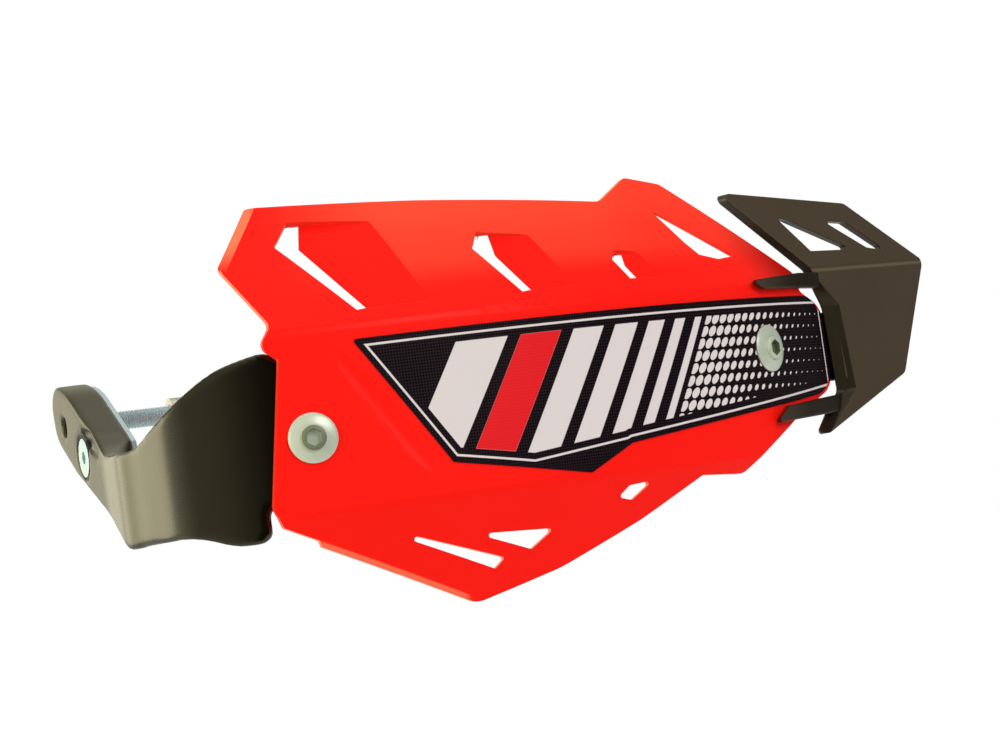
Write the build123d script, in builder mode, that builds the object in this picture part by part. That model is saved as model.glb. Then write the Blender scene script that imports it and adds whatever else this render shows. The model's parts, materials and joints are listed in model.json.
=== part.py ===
"""Wrap-around hand guard for the right end of a 22 mm handlebar.

The origin lies on the handlebar's axis, where the bar's end meets the backing plate.
X runs along the bar towards the middle of the bike, Y backwards and Z up.
"""

import os
from math import asin, atan2, cos, degrees, radians, sin, sqrt, tan

from build123d import *

os.makedirs("parts", exist_ok=True)

# Handlebar
bar_diameter = 22.2
bar_bore = 14.0
bar_play = 0.1

# Clearance between mouldings, and around shanks
seat_gap = 0.2
shank_gap = 0.2

# Shield: a wall turned about an upright axis far behind the hand
shield_axis_x = 96.0
shield_front = -124.0
shield_radius = 321.0
shield_wall = 3.0
shield_overrun = 8.0
crease_radius = 7.0
band_top = 20.0
band_bottom = -52.0
wing_lean = 32.0
skirt_lean = 22.0
shield_outline = (
    (48.2, 73.8), (30, 49.5), (42.5, 23.5), (36.5, 15.5), (43.3, 9.5), (33.7, -48), (37.2, -56), (51, -62.6),
    (52, -65.2), (116, -95.5), (154, -86), (192, -71.5), (225, -56.4), (248, -57.8), (289, -35), (316, -24),
    (316, 10), (299, 18), (301, 26), (240.5, 69.5), (222, 73), (203.5, 62.5), (117, 69.5),
)
shield_corners = (3, 5, 4, 4, 1, 5, 2, 1, 1, 9, 60, 80, 2, 8, 6, 12, 12, 4, 2, 5, 4, 8, 200)
wing_rim_width = 3.4
wing_rim_drop = 2.2

# Dished groove beside the sticker: its middle and its slope on the band
groove_x = 82.5
groove_z = -15.6
groove_run = (34.8, -52.8)
groove_radius = 9.0
groove_depth = 1.2
groove_bow = 667.0
groove_arc = 4.0

# Scoop vents of the wing: azimuth of the foot, depth and reach; then slots and bowls, drawn on the wing
scoop_foot = 26.0
scoop_places = ((-2.9, 5.0, 38.0), (10.2, 4.2, 28.5), (20.1, 3.0, 19.0))
scoop_slots = (
    ((-19.5, 46.7), (-15.2, 46.5), (-18, 33), (2, 0), (-2, -0.4), (-27, 35.8)),
    ((-10, 32.3), (-5.7, 31), (-6.8, 19.6), (2, 0.2), (-2.6, -0.2), (-15.4, 24)),
    ((-2.4, 16.4), (1.1, 16.6), (-0.4, 8.8), (2, 1.6), (-2, 1.6), (-5.4, 12)),
)
scoop_bowls = (
    ((-15.2, 46.5), (14, 43), (18, 37.5), (29, 17.4), (46, 1.5), (2, 0), (-18, 33)),
    ((-5.7, 31), (13, 28.5), (18, 24), (22, 13), (30, 1), (2, 0.2), (-6.8, 19.6)),
    ((1.1, 16.6), (10, 15), (13.8, 12), (17, 6), (20.5, 1), (2, 1.6), (-0.4, 8.8)),
)
scoop_wall = 2.5
scoop_skin = 0.2
scoop_room = 20.0
slot_lip = 2.1
draw_azimuth = -20.0

# Slots of the skirt and slit of the fin, seen from the front
skirt_slots = (
    ((85, -66), (91, -66.2), (128.5, -79), (124, -83)),
    ((115.4, -68.2), (151, -70), (140.2, -77.2)),
    ((181, -61.2), (186.5, -57), (199, -56), (188, -63)),
)
fin_slit = ((229.5, 56.4), (265, 34.6), (255.5, 33.6), (245.5, 36), (240, 42))
slot_corner = 1.0

# Sticker on the band
sticker_thickness = 0.3
sticker_glue = 0.1
sticker_outline = (
    (73, 14), (300, 15.5), (314, 15), (314, -26), (288, -29.4), (190, -40), (168.5, -50), (108, -39),
)
sticker_corners = (1, 1, 13, 12, 1, 1, 1, 1)

# Shield screws: azimuth and height on the band
outer_screw_azimuth = -7.8
outer_screw_height = -22.5
inner_screw_azimuth = 33.5
inner_screw_height = -6.5
screw_diameter = 8.0
screw_head = 20.0
screw_head_height = 3.8
screw_head_edge = 1.0
screw_flange_rise = 2.3
screw_button = 10.0
screw_bevel = 0.7
screw_socket = 6.0
screw_socket_depth = 2.6
washer_diameter = 17.0
washer_thickness = 1.6
nut_across = 13.0
nut_thickness = 6.5
nut_collar = 1.5
thread_end = 2.0

# Outer arm: an eye at the bar's end, a neck, and a wall that wraps round to the shield
plate_thickness = 2.0
plate_inset = 1.5
plate_end = -50.0
eye_thickness = 15.0
arm_wall = 4.0
arm_corner = 32.0
arm_end_azimuth = -3.0
eye_outline = (
    (11.5, 19), (17.5, 10), (16, -4.5), (-12, -21), (-57, -40.5), (-79, -56), (-90, -56), (-90, -17),
    (-62, -17), (-46, -7), (-8.5, 13.8),
)
eye_corners = (10, 6, 12, 60, 60, 16, 0.5, 0.5, 14, 40, 60)
wrap_outline = (
    (46, -17), (57, -17), (77, -1), (91, 9.5), (108, 14), (120, 6), (141, 0), (141, -45), (103, -48),
    (103.5, -61.5), (91, -61), (78, -55), (52, -56), (46, -56),
)
wrap_corners = (0.5, 14, 60, 40, 7, 20, 12, 12, 3, 5, 20, 30, 20, 0.5)
neck_from = -54.0
neck_to = -70.0
key_hole = 8.0
eye_screw_y = -25.7
eye_screw_z = -14.8
eye_screw_head = 16.0
eye_screw_cone = 4.5
eye_screw_recess = 0.6
eye_screw_moat = 1.4
eye_screw_moat_depth = 2.4
eye_screw_socket = 5.0
eye_pocket = ((-28, -2.5), (-41.2, -5), (-53, -15.4), (-49.1, -17), (-39.1, -14.2), (-28.6, -7.2))
eye_pocket_depth = 2.5
clinch_diameter = 13.0
clinch_height = 5.0
boss_diameter = 22.0
boss_height = 2.0

# Expander in the bar's bore
expander_start = 32.0
expander_length = 34.0
expander_play = 0.1
expander_slit = 2.0
sleeve_wall = 1.9
cone_length = 9.0
cone_flange = 3.0
bolt_head = 13.0
bolt_head_height = 8.0
bolt_socket = 6.0

# Deflector
deflector_x = 309.0
deflector_standoff = 2.1
deflector_toe = 21.6
deflector_wall = 3.0
deflector_rim = 5.2
deflector_top_wall = 5.5
deflector_bevel = 4.5
deflector_crease = 28.0
deflector_lean = 24.0
deflector_outline = (
    (-33, 64.5), (38.5, 56), (70, 26.5), (49, -22), (-7.5, -47), (3, -34), (10.5, -27), (8.5, 10), (1, 26),
)
deflector_corners = (2.5, 4, 4, 4, 1.5, 6, 4, 14, 20)
bevel_widths = (-1, 0, 0, 0, 3, 7, 7, 6, -1)
deflector_vents = (
    ((-6, 51.4), (0.5, 50), (30.4, 34.4), (5, 35)),
    ((20.7, 48.6), (34.5, 47.1), (50.5, 32.6), (39.3, 34.8)),
)
tongue_thickness = 3.5
tongue_outlines = (
    ((-43, 22.5), (-35, 18.6), (3, 18.6), (5, 25), (-11, 25)),
    ((-39.5, -38.5), (-30, -31.5), (-9, -29.6), (11, -28), (11, -35), (-5, -36.5)),
)
tab_wall = 3.0
tab_height = 30.0
tab_margin = 14.0
tab_end = deflector_x + 14.0
web_start = 13.5
web_wall = 5.0

# Inner arm and handlebar clamp
clamp_x = 275.0
clamp_length = 22.0
clamp_wall = 6.0
clamp_split = 2.0
clamp_screw_diameter = 6.0
clamp_screw_socket = 5.0
clamp_screw_offset = 25.0
clamp_lug = 12.0
clamp_lug_thickness = 9.0
clamp_nut_across = 10.0
clamp_nut_thickness = 5.0
clamp_nut_collar = 1.0
clamp_washer_diameter = 12.0
clamp_washer_thickness = 1.2
pad_wall = 5.0
rib_wall = 4.0
rib_levels = (-19.5, 4.0)

shield_axis_y = shield_front + shield_radius
up = Axis((shield_axis_x, shield_axis_y, 0), (0, 0, 1))


def radial_plane(azimuth):
    """Upright plane through the shield's axis: x runs outwards, y runs up."""
    a = radians(azimuth)
    return Plane((shield_axis_x, shield_axis_y, 0), x_dir=(sin(a), -cos(a), 0), z_dir=(-cos(a), -sin(a), 0))


def band_plane(azimuth, height, radius):
    """Plane that touches the turned band, with z outwards and y up."""
    a = radians(azimuth)
    place = (shield_axis_x + radius * sin(a), shield_axis_y - radius * cos(a), height)
    return Plane(place, x_dir=(cos(a), sin(a), 0), z_dir=(sin(a), -cos(a), 0))


def wing_plane(azimuth, height):
    """Plane that touches the leaning wing, with z outwards and y up the wing."""
    a = radians(azimuth)
    lean = radians(wing_lean)
    radius = shield_radius - (height - band_top) * tan(lean)
    place = (shield_axis_x + radius * sin(a), shield_axis_y - radius * cos(a), height)
    return Plane(place, x_dir=(cos(a), sin(a), 0), z_dir=(sin(a) * cos(lean), -cos(a) * cos(lean), sin(lean)))


def azimuth_of(x, radius):
    """Azimuth at which a turned wall of this radius has this x."""
    return degrees(asin((x - shield_axis_x) / radius))


def front_line(depth):
    """Corners of the shield's section, top to bottom, this far behind its front."""
    wing, skirt = radians(wing_lean), radians(skirt_lean)
    top = max(z for x, z in shield_outline) + shield_wall
    bottom = min(z for x, z in shield_outline) - shield_wall
    corners = (
        (shield_radius - (top - band_top) * tan(wing), top, wing, wing),
        (shield_radius, band_top, wing, 0),
        (shield_radius, band_bottom, 0, -skirt),
        (shield_radius - (band_bottom - bottom) * tan(skirt), bottom, -skirt, -skirt),
    )
    moved = []
    for radius, height, above, below in corners:
        shift = depth / cos((above - below) / 2)
        middle = (above + below) / 2
        moved.append((radius - shift * cos(middle), height - shift * sin(middle)))
    return moved


def wing_point(x, z):
    """Point of the wing's front at this x and height."""
    radius = shield_radius - (z - band_top) * tan(radians(wing_lean))
    return Vector(x, shield_axis_y - sqrt(radius**2 - (x - shield_axis_x) ** 2), z)


def sunk_face(plane, outline, depth):
    """Face over an outline on the plane, each corner sunk below it by depth(u, v)."""
    corners = [plane.from_local_coords((u, v, -depth(u, v))) for u, v in outline]
    return Face(Wire.make_polygon(corners, close=True))


def grown(outline, amount):
    """Outline with each corner moved this far away from the middle."""
    u0 = sum(u for u, v in outline) / len(outline)
    v0 = sum(v for u, v in outline) / len(outline)
    reach = [(u, v, sqrt((u - u0) ** 2 + (v - v0) ** 2)) for u, v in outline]
    return [(u + amount * (u - u0) / r, v + amount * (v - v0) / r) for u, v, r in reach]


wall_start = azimuth_of(shield_outline[1][0], shield_radius) - shield_overrun
wall_end = azimuth_of(max(x for x, z in shield_outline), shield_radius) + shield_overrun
wall_turn = wall_end - wall_start

# Level plane that faces the way the mould opens the scoops
draw_turn = radians(draw_azimuth)
draw_plane = Plane(
    (shield_axis_x, shield_axis_y, 0),
    x_dir=(cos(draw_turn), sin(draw_turn), 0),
    z_dir=(sin(draw_turn), -cos(draw_turn), 0),
)


def drawn(corners):
    """Opening through these corners, seen the way the mould opens."""
    seen = [draw_plane.to_local_coords(corner) for corner in corners]
    with BuildSketch() as opening:
        with BuildLine():
            Polyline(*[(corner.X, corner.Y) for corner in seen], close=True)
        make_face()
    return opening.sketch


# Section across the wing's outer edge: x runs off the edge and y outwards from the front
rim_foot = wing_point(*shield_outline[1])
rim_run = wing_point(*shield_outline[0]) - rim_foot
rim_length = 1.5 * rim_run.length
rim_normal = wing_plane(azimuth_of(shield_outline[1][0], shield_radius), scoop_foot).z_dir
wing_rim = Plane(rim_foot, x_dir=rim_normal.cross(rim_run), z_dir=rim_run)

# Section across the groove at its middle: x runs outwards
groove_middle = band_plane(azimuth_of(groove_x, shield_radius), groove_z, shield_radius)
groove_along = groove_middle.x_dir * groove_run[0] + groove_middle.y_dir * groove_run[1]
groove_plane = Plane(groove_middle.origin, x_dir=groove_middle.z_dir, z_dir=groove_along)
groove_axis = Axis(
    groove_middle.origin + groove_middle.z_dir * (groove_radius - groove_depth + groove_bow),
    groove_along.cross(groove_middle.z_dir),
)

# Backs of the scoops, trimmed to the space behind the shield's front
with BuildPart() as scoop_backs:
    for (azimuth, sink, reach), bowl in zip(scoop_places, scoop_bowls):
        wing = wing_plane(azimuth, scoop_foot)
        back = grown(bowl, scoop_wall)
        loft(
            [
                sunk_face(wing, back, lambda u, v: -2 * scoop_wall),
                sunk_face(wing, back, lambda u, v: scoop_wall + sink * (1 - (u + v / 2) / reach)),
            ],
            ruled=True,
        )
    with BuildSketch(radial_plane(wall_start)):
        with BuildLine():
            Polyline(*front_line(scoop_skin), *reversed(front_line(scoop_room)), close=True)
        make_face()
    revolve(axis=up, revolution_arc=wall_turn, mode=Mode.INTERSECT)

with BuildPart() as shield:
    with BuildSketch(radial_plane(wall_start)) as section:
        with BuildLine():
            Polyline(*front_line(0), *reversed(front_line(shield_wall)), close=True)
        make_face()
        fillet(section.vertices().sort_by(Axis.Y)[2:6], crease_radius)
    revolve(axis=up, revolution_arc=wall_turn)
    with BuildSketch(Plane.XZ):
        with BuildLine():
            FilletPolyline(*shield_outline, radius=shield_corners, close=True)
        make_face()
    extrude(amount=shield_radius, both=True, mode=Mode.INTERSECT)
    add(scoop_backs.part)
    for (azimuth, sink, reach), slot, bowl in zip(scoop_places, scoop_slots, scoop_bowls):
        wing = wing_plane(azimuth, scoop_foot)
        loft(
            [
                sunk_face(wing, bowl, lambda u, v: -4 * scoop_wall),
                sunk_face(wing, bowl, lambda u, v: sink * (1 - (u + v / 2) / reach)),
            ],
            ruled=True,
            mode=Mode.SUBTRACT,
        )
        with BuildSketch(wing):
            with BuildLine():
                Polyline(*slot, close=True)
            make_face()
        extrude(amount=4 * sink, both=True, mode=Mode.SUBTRACT)
        slot_top = max(v for u, v in slot) - slot_lip
        with BuildSketch(draw_plane):
            add(drawn([wing.from_local_coords((u, min(v, slot_top), 0)) for u, v in slot]))
        extrude(amount=shield_radius, both=True, mode=Mode.SUBTRACT)
    with BuildSketch(draw_plane):
        add(drawn([wing_point(x, z) for x, z in fin_slit]))
    extrude(amount=shield_radius, both=True, mode=Mode.SUBTRACT)
    with BuildSketch(wing_rim):
        with BuildLine():
            Polyline(
                (-wing_rim_width, 0),
                (wing_rim_width, -2 * wing_rim_drop),
                (wing_rim_width, 4 * shield_wall),
                (-wing_rim_width, 4 * shield_wall),
                close=True,
            )
        make_face()
    extrude(amount=rim_length, mode=Mode.SUBTRACT)
    with BuildSketch(groove_plane):
        with Locations((groove_radius - groove_depth, 0)):
            Circle(groove_radius)
    revolve(axis=groove_axis, revolution_arc=groove_arc, mode=Mode.SUBTRACT)
    with BuildSketch(groove_plane):
        with Locations((groove_radius - groove_depth, 0)):
            Circle(groove_radius)
    revolve(axis=groove_axis, revolution_arc=-groove_arc, mode=Mode.SUBTRACT)
    with BuildSketch(Plane.XZ):
        for corners in skirt_slots:
            with BuildLine():
                FilletPolyline(*corners, radius=slot_corner, close=True)
            make_face()
    extrude(amount=shield_radius, mode=Mode.SUBTRACT)
    for azimuth, height in (
        (outer_screw_azimuth, outer_screw_height),
        (inner_screw_azimuth, inner_screw_height),
    ):
        with BuildSketch(band_plane(azimuth, height, shield_radius)):
            Circle(screw_diameter / 2 + shank_gap)
        extrude(amount=2 * shield_wall, both=True, mode=Mode.SUBTRACT)
shield.part.label = "shield"
export_step(shield.part, "parts/shield.step")

with BuildPart() as graphic_sticker:
    with BuildSketch(radial_plane(wall_start)):
        with Locations((shield_radius + sticker_glue + sticker_thickness / 2, (band_top + band_bottom) / 2)):
            Rectangle(sticker_thickness, band_top - band_bottom)
    revolve(axis=up, revolution_arc=wall_turn)
    with BuildSketch(Plane.XZ):
        with BuildLine():
            FilletPolyline(*sticker_outline, radius=sticker_corners, close=True)
        make_face()
    extrude(amount=shield_radius, mode=Mode.INTERSECT)
    with BuildSketch(band_plane(inner_screw_azimuth, inner_screw_height, shield_radius)):
        Circle(screw_head / 2 + shank_gap)
    extrude(amount=2 * shield_wall, both=True, mode=Mode.SUBTRACT)
graphic_sticker.part.label = "graphic_sticker"
export_step(graphic_sticker.part, "parts/graphic_sticker.step")

# Radii of the walls that are stacked behind the shield
arm_outside = shield_radius - shield_wall - seat_gap
arm_inside = arm_outside - arm_wall
outer_seat = arm_inside - boss_height
tab_outside = shield_radius - shield_wall - seat_gap
tab_inside = tab_outside - tab_wall
pad_outside = tab_inside - seat_gap
pad_inside = pad_outside - pad_wall
inner_seat = pad_inside - boss_height

# Plan of the outer arm: the corner circle touches the eye's side and the shield's back
eye_outside = -plate_thickness - eye_thickness
eye_end = 2 * max(y for y, z in eye_outline)
corner_x = eye_outside + arm_corner
corner_y = shield_axis_y - sqrt((arm_outside - arm_corner) ** 2 - (corner_x - shield_axis_x) ** 2)
corner_turn = degrees(atan2(corner_y - shield_axis_y, corner_x - shield_axis_x))
arm_end = arm_end_azimuth - 90
arm_top = 60.0
arm_floor = -100.0


def arm_plan():
    """Outline of the arm from above."""
    with BuildSketch() as plan:
        with BuildLine():
            side = Line((eye_outside, eye_end), (eye_outside, corner_y))
            CenterArc((corner_x, corner_y), arm_corner, 180, 180 + corner_turn)
            front = CenterArc((shield_axis_x, shield_axis_y), arm_outside, corner_turn, arm_end - corner_turn)
            back = CenterArc((shield_axis_x, shield_axis_y), arm_inside, arm_end, corner_turn - arm_end)
            Line(front @ 1, back @ 0)
            bend = CenterArc((corner_x, corner_y), arm_corner - arm_wall, corner_turn, -180 - corner_turn)
            Polyline(
                bend @ 1,
                (eye_outside + arm_wall, neck_to),
                (-plate_thickness, neck_from),
                (-plate_thickness, eye_end),
                side @ 0,
            )
        make_face()
    return plan.sketch


def eye_profile():
    """Outline of the eye and its strip from the side."""
    with BuildSketch() as profile:
        with BuildLine():
            FilletPolyline(*eye_outline, radius=eye_corners, close=True)
        make_face()
    return profile.sketch


def eye_screw_profile(gap):
    """Half section of the eye screw along X, grown by a gap: flat head, cone and shank."""
    face = eye_outside + eye_screw_recess
    shank = screw_diameter / 2 + gap
    return (
        (face, 0),
        (face, eye_screw_head / 2 + gap),
        (face + eye_screw_cone, shank),
        (clinch_height + gap, shank),
        (clinch_height + gap, 0),
    )


with BuildPart() as arm_eye:
    with BuildSketch(Plane.XY.offset(arm_floor)):
        add(arm_plan())
    extrude(amount=arm_top - arm_floor)
    with BuildSketch(Plane.YZ):
        add(eye_profile())
    extrude(amount=arm_corner, both=True, mode=Mode.INTERSECT)

with BuildPart() as outer_arm:
    with BuildSketch(Plane.XY.offset(arm_floor)):
        add(arm_plan())
    extrude(amount=arm_top - arm_floor)
    with BuildSketch(Plane((0, 0, 0), x_dir=(1, -1, 0), z_dir=(-1, -1, 0))):
        with BuildLine():
            FilletPolyline(*wrap_outline, radius=wrap_corners, close=True)
        make_face()
    extrude(amount=shield_radius, both=True, mode=Mode.INTERSECT)
    add(arm_eye.part)
    with BuildSketch(band_plane(outer_screw_azimuth, outer_screw_height, outer_seat)):
        Circle(boss_diameter / 2)
    extrude(amount=boss_height + arm_wall / 2)
    with BuildSketch(band_plane(outer_screw_azimuth, outer_screw_height, outer_seat)):
        Circle(screw_diameter / 2 + shank_gap)
    extrude(amount=2 * arm_wall, both=True, mode=Mode.SUBTRACT)
    with BuildSketch(Plane.YZ.offset(-plate_thickness)):
        Circle(bolt_head / 2 + shank_gap)
    extrude(amount=-bolt_head_height - shank_gap, mode=Mode.SUBTRACT)
    with BuildSketch(Plane.YZ.offset(eye_outside)):
        Circle(key_hole / 2)
    extrude(amount=eye_thickness, mode=Mode.SUBTRACT)
    with BuildSketch(Plane.YZ.offset(eye_outside)):
        with Locations((eye_screw_y, eye_screw_z)):
            Circle(eye_screw_head / 2 + eye_screw_moat)
    extrude(amount=eye_screw_moat_depth, mode=Mode.SUBTRACT)
    with BuildSketch(Plane.YZ.offset(eye_outside)):
        with BuildLine():
            FilletPolyline(*eye_pocket, radius=slot_corner, close=True)
        make_face()
    extrude(amount=eye_pocket_depth, mode=Mode.SUBTRACT)
    with BuildSketch(Plane.XZ.offset(-eye_screw_y)):
        with BuildLine():
            Polyline(*[(x, eye_screw_z + r) for x, r in eye_screw_profile(shank_gap)], close=True)
        make_face()
    revolve(axis=Axis((0, eye_screw_y, eye_screw_z), (1, 0, 0)), mode=Mode.SUBTRACT)
outer_arm.part.label = "outer_arm"
export_step(outer_arm.part, "parts/outer_arm.step")


# The deflector's front plane: x runs along its crease, y up and z outwards
deflector_radius = shield_radius + deflector_standoff
deflector_turn = radians(azimuth_of(deflector_x, shield_radius) - deflector_toe)
deflector_y = shield_axis_y - sqrt(deflector_radius**2 - (deflector_x - shield_axis_x) ** 2)
deflector_along = (cos(deflector_turn), sin(deflector_turn), 0)
deflector_out = (sin(deflector_turn), -cos(deflector_turn), 0)
deflector_front = Plane((deflector_x, deflector_y, 0), x_dir=deflector_along, z_dir=deflector_out)
deflector_section = Plane(
    (deflector_x, deflector_y, 0), x_dir=deflector_out, z_dir=(-deflector_along[0], -deflector_along[1], 0)
)


def deflector_line(depth, top_depth):
    """Corners of the deflector's section, top to bottom, this far behind its front and its top edge."""
    lean = radians(deflector_lean)
    top = max(v for u, v in deflector_outline) + deflector_rim
    bottom = min(v for u, v in deflector_outline)
    return (
        ((deflector_crease - top) * tan(lean) - top_depth * cos(lean), top - top_depth * sin(lean)),
        (-depth, deflector_crease - depth * tan(lean / 2)),
        (-depth, bottom),
    )


def deflector_face(shift):
    """Outline of the deflector from the front, moved along its crease."""
    moved = [(u + shift, v) for u, v in deflector_outline]
    with BuildSketch() as face:
        with BuildLine():
            FilletPolyline(*moved, radius=deflector_corners, close=True)
        make_face()
    return face.sketch


deflector_reach = 2 * max(u for u, v in deflector_outline)
web_places = (web_start, web_start + web_wall)
web_lag = degrees(web_wall / shield_radius)

# Deep rim along the deflector's outer edge
with BuildPart() as deflector_edge:
    with BuildSketch(deflector_section):
        with BuildLine():
            back_line = deflector_line(deflector_rim, deflector_rim)
            Polyline(*deflector_line(0, 0), *reversed(back_line), close=True)
        make_face()
    extrude(amount=deflector_reach, both=True)
    with BuildSketch(deflector_front):
        add(deflector_face(0))
        add(deflector_face(deflector_wall), mode=Mode.SUBTRACT)
    extrude(amount=deflector_reach, both=True, mode=Mode.INTERSECT)


def bevel_face(depth):
    """Space kept this far behind the front: its outer edge draws back to the front, its rest lies open."""
    part_way = 1 - depth / deflector_bevel
    corners = []
    for (u, v), width in zip(deflector_outline, bevel_widths):
        spread = width * part_way if width else deflector_reach
        corners.append(deflector_front.from_local_coords((u + spread, v, -depth)))
    return Face(Wire.make_polygon(corners))


# Space inside the bevelled outer edge
with BuildPart() as bevel_space:
    loft([bevel_face(-deflector_bevel / 5), bevel_face(deflector_bevel * 1.1)], ruled=True)
    with BuildSketch(deflector_front.offset(-deflector_bevel)):
        Rectangle(4 * deflector_reach, 4 * deflector_reach)
    extrude(amount=-deflector_reach)

# Tongues that lie on the shield's front, and the tab behind it
with BuildPart() as tongues:
    with BuildSketch(radial_plane(wall_start)):
        with Locations((shield_radius + seat_gap + tongue_thickness / 2, 0)):
            Rectangle(tongue_thickness, band_top - band_bottom + 2 * deflector_crease)
    revolve(axis=up, revolution_arc=wall_turn)
    with BuildSketch(Plane.XZ):
        for corners in tongue_outlines:
            with BuildLine():
                FilletPolyline(*[(deflector_x + x, z) for x, z in corners], radius=slot_corner, close=True)
            make_face()
    extrude(amount=shield_radius, mode=Mode.INTERSECT)

inner_screw_x = shield_axis_x + tab_outside * sin(radians(inner_screw_azimuth))

with BuildPart() as tab:
    with BuildSketch(radial_plane(wall_start)):
        with Locations((tab_outside - tab_wall / 2, inner_screw_height)):
            Rectangle(tab_wall, tab_height)
    revolve(axis=up, revolution_arc=wall_turn)
    with BuildSketch(Plane.XZ):
        with Locations(((inner_screw_x - tab_margin + tab_end) / 2, inner_screw_height)):
            Rectangle(tab_end - inner_screw_x + tab_margin, 2 * tab_height)
    extrude(amount=shield_radius, mode=Mode.INTERSECT)

with BuildPart() as deflector:
    with BuildSketch(deflector_section):
        with BuildLine():
            back_line = deflector_line(deflector_wall, deflector_top_wall)
            Polyline(*deflector_line(0, 0), *reversed(back_line), close=True)
        make_face()
    extrude(amount=deflector_reach, both=True)
    with BuildSketch(deflector_front):
        add(deflector_face(0))
    extrude(amount=deflector_reach, both=True, mode=Mode.INTERSECT)
    add(deflector_edge.part)
    add(bevel_space.part, mode=Mode.INTERSECT)
    add(tongues.part)
    add(tab.part)
    with BuildSketch(Plane.XY.offset(inner_screw_height - tab_height / 2)):
        with BuildLine():
            web = [deflector_front.from_local_coords((u, 0, -deflector_wall / 2)) for u in web_places]
            tip = [band_plane(azimuth_of(tab_end, tab_inside) - lag, 0, tab_inside) for lag in (0, web_lag)]
            Polyline(*[(corner.X, corner.Y) for corner in (*web, tip[0].origin, tip[1].origin)], close=True)
        make_face()
    extrude(amount=tab_height)
    with BuildSketch(deflector_front):
        for corners in deflector_vents:
            with BuildLine():
                FilletPolyline(*corners, radius=slot_corner, close=True)
            make_face()
    extrude(amount=deflector_reach, both=True, mode=Mode.SUBTRACT)
    with BuildSketch(band_plane(inner_screw_azimuth, inner_screw_height, tab_inside)):
        Circle(screw_diameter / 2 + shank_gap)
    extrude(amount=2 * tab_wall, both=True, mode=Mode.SUBTRACT)
deflector.part.label = "deflector"
export_step(deflector.part, "parts/deflector.step")

# Clamp sizes: bore, ring, and lugs that stand clear of the split between the halves
clamp_radius = bar_diameter / 2 + bar_play / 2
clamp_outside = clamp_radius + clamp_wall
lug_top = clamp_screw_offset + clamp_lug / 2
lug_face = clamp_split / 2 + clamp_lug_thickness


def clamp_half():
    """Section of the front half of the clamp, with its two lugs, seen along the bar."""
    with BuildSketch() as half:
        Circle(clamp_outside)
        with Locations((-lug_face / 2, 0)):
            RectangleRounded(lug_face, 2 * lug_top, lug_face / 4)
        Circle(clamp_radius, mode=Mode.SUBTRACT)
        with Locations((clamp_outside - clamp_split / 2, 0)):
            Rectangle(2 * clamp_outside, 3 * lug_top, mode=Mode.SUBTRACT)
    return half.sketch


with BuildPart() as inner_arm:
    with BuildSketch(radial_plane(wall_start)):
        with Locations((pad_outside - pad_wall / 2, inner_screw_height)):
            Rectangle(pad_wall, tab_height)
    revolve(axis=up, revolution_arc=wall_turn)
    with BuildSketch(Plane.XZ):
        with Locations((inner_screw_x, inner_screw_height)):
            RectangleRounded(2 * tab_margin, tab_height, tab_margin / 4)
    extrude(amount=shield_radius, mode=Mode.INTERSECT)
    pad_middle = band_plane(inner_screw_azimuth, 0, pad_inside + pad_wall / 2)
    pad_ends = [pad_middle.from_local_coords((u, 0)) for u in (-tab_margin * 0.8, tab_margin * 0.8)]
    for rib_level in rib_levels:
        with BuildSketch(Plane.XY.offset(rib_level)):
            with BuildLine():
                Polyline(
                    *[(corner.X, corner.Y) for corner in pad_ends],
                    (clamp_x + clamp_length / 2, -lug_face / 2),
                    (clamp_x - clamp_length / 2, -lug_face / 2),
                    close=True,
                )
            make_face()
        extrude(amount=rib_wall)
    with BuildSketch(Plane.YZ.offset(clamp_x)):
        Circle(clamp_radius)
    extrude(amount=clamp_length, both=True, mode=Mode.SUBTRACT)
    with BuildSketch(Plane.YZ.offset(clamp_x - clamp_length / 2)):
        add(clamp_half())
    extrude(amount=clamp_length)
    with BuildSketch(band_plane(inner_screw_azimuth, inner_screw_height, inner_seat)):
        Circle(boss_diameter / 2)
    extrude(amount=boss_height + pad_wall / 2)
    with BuildSketch(band_plane(inner_screw_azimuth, inner_screw_height, inner_seat)):
        Circle(screw_diameter / 2 + shank_gap)
    extrude(amount=2 * pad_wall, mode=Mode.SUBTRACT)
    with BuildSketch(Plane.XZ):
        with Locations((clamp_x, clamp_screw_offset), (clamp_x, -clamp_screw_offset)):
            Circle(clamp_screw_diameter / 2 + shank_gap)
    extrude(amount=2 * lug_face, mode=Mode.SUBTRACT)
inner_arm.part.label = "inner_arm"
export_step(inner_arm.part, "parts/inner_arm.step")

with BuildPart() as clamp_cap:
    with BuildSketch(Plane.YZ.offset(clamp_x - clamp_length / 2)):
        mirror(clamp_half(), about=Plane.YZ)
    extrude(amount=clamp_length)
    with BuildSketch(Plane.XZ):
        with Locations((clamp_x, clamp_screw_offset), (clamp_x, -clamp_screw_offset)):
            Circle(clamp_screw_diameter / 2 + shank_gap)
    extrude(amount=-2 * lug_face, mode=Mode.SUBTRACT)
clamp_cap.part.label = "clamp_cap"
export_step(clamp_cap.part, "parts/clamp_cap.step")


def section_of(plane):
    """Plane through the axis of a fastener: x runs outwards from it, y along it."""
    return Plane(plane.origin, x_dir=plane.x_dir, z_dir=-plane.y_dir)


def washer(plane, diameter, thickness, bore):
    """Flat ring that lies on the plane."""
    with BuildPart() as ring:
        with BuildSketch(plane):
            Circle(diameter / 2)
            Circle(bore / 2 + shank_gap, mode=Mode.SUBTRACT)
        extrude(amount=thickness)
    return ring.part


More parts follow.
